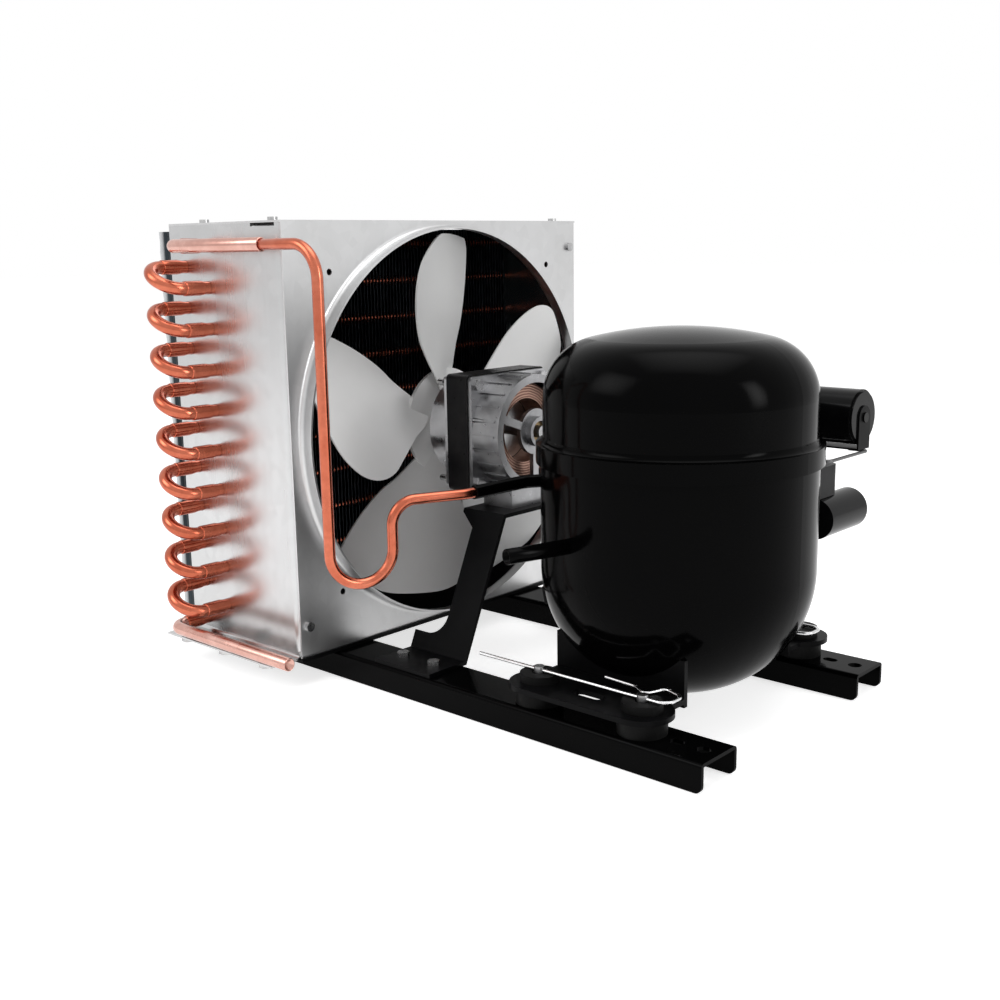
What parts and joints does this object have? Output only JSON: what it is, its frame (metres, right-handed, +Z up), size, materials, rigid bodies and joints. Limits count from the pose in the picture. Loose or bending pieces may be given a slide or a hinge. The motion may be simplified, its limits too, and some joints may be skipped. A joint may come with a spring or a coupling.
{
  "type": "condensing unit",
  "caption": "Air-cooled condensing unit: round hermetic compressor on two base rails beside a finned condenser with a motor-driven fan in a sheet-metal shroud",
  "frame": {"origin": "middle of the unit's outline in plan, on the floor that the rails stand on", "axes": "+X from the condenser to the compressor along the rails, +Y away from the return bends, +Z up"},
  "size_m": [0.3964, 0.3283, 0.2841],
  "materials": {
    "gloss_black": "gloss black enamel on steel",
    "satin_black": "satin black powder coat on steel",
    "galvanised": "bright galvanised sheet with a soft sheen",
    "zinc": "bright zinc plating",
    "copper": "drawn copper tube, slightly dulled",
    "pale_copper": "pale pink copper, bright drawn",
    "fin_stock": "dark coated aluminium fins",
    "fan_sheet": "satin light grey aluminium sheet",
    "die_cast": "tumbled die-cast aluminium",
    "lamination": "black varnished laminations",
    "winding": "varnished copper winding",
    "bearing_bronze": "sintered bronze",
    "rubber": "black moulded rubber",
    "black_plastic": "black moulded plastic, faint grain",
    "can_black": "glossy black capacitor case",
    "spring_wire": "bright spring wire",
    "machined_steel": "machined steel",
    "grey_iron": "grey cast iron"
  },
  "bodies": {
    "unit": {"front_rail": "gloss_black", "rear_rail": "gloss_black", "condenser_tray": "satin_black", "tray_bolts": "zinc", "near_end_plate": "galvanised", "far_end_plate": "galvanised", "fin_pack": "fin_stock", "coil_hairpins": "copper", "return_bends": "copper", "flange_bolts": "zinc", "flange_nuts": "zinc", "fan_shroud": "galvanised", "shroud_screws": "zinc", "inlet_pipe": "pale_copper", "discharge_line": "copper", "liquid_line": "pale_copper", "motor_stack": "lamination", "motor_windings": "winding", "motor_front_shell": "die_cast", "motor_rear_shell": "die_cast", "motor_bearings": "bearing_bronze", "motor_studs": "zinc", "motor_bracket": "satin_black", "bracket_bolts": "zinc", "motor_screws": "zinc", "lower_shell": "gloss_black", "upper_shell": "gloss_black", "front_foot_plate": "satin_black", "rear_foot_plate": "satin_black", "rubber_grommets": "rubber", "mounting_pins": "machined_steel", "retaining_wires": "spring_wire", "discharge_stub": "gloss_black", "suction_stub": "gloss_black", "terminal_cover": "black_plastic", "start_capacitor": "can_black", "capacitor_strap": "satin_black", "cover_bail": "spring_wire", "run_capacitor": "can_black", "compressor_stator": "grey_iron", "stator_windings": "winding", "cylinder_block": "grey_iron", "valve_plate": "machined_steel", "cylinder_head": "grey_iron", "suspension_springs": "spring_wire"},
    "fan": {"fan_blades": "fan_sheet", "fan_hub": "die_cast", "motor_rotor": "machined_steel"},
    "crankshaft": {"rotor_crankshaft": "machined_steel"},
    "piston": {"piston_rod": "machined_steel"}
  },
  "joints": [
    {"name": "fan_spin", "type": "hinge", "parent": "unit", "child": "fan", "pos_m": [-0.07475, 0.00725, 0.14975], "axis": [1, 0, 0], "continuous": true},
    {"name": "crankshaft_spin", "type": "hinge", "parent": "unit", "child": "crankshaft", "pos_m": [0.11625, -0.003, 0.1], "axis": [0, 0, 1], "continuous": true},
    {"name": "piston_stroke", "type": "slide", "parent": "unit", "child": "piston", "axis": [1, 0, 0], "range_m": [-0.018, 0]}
  ]
}
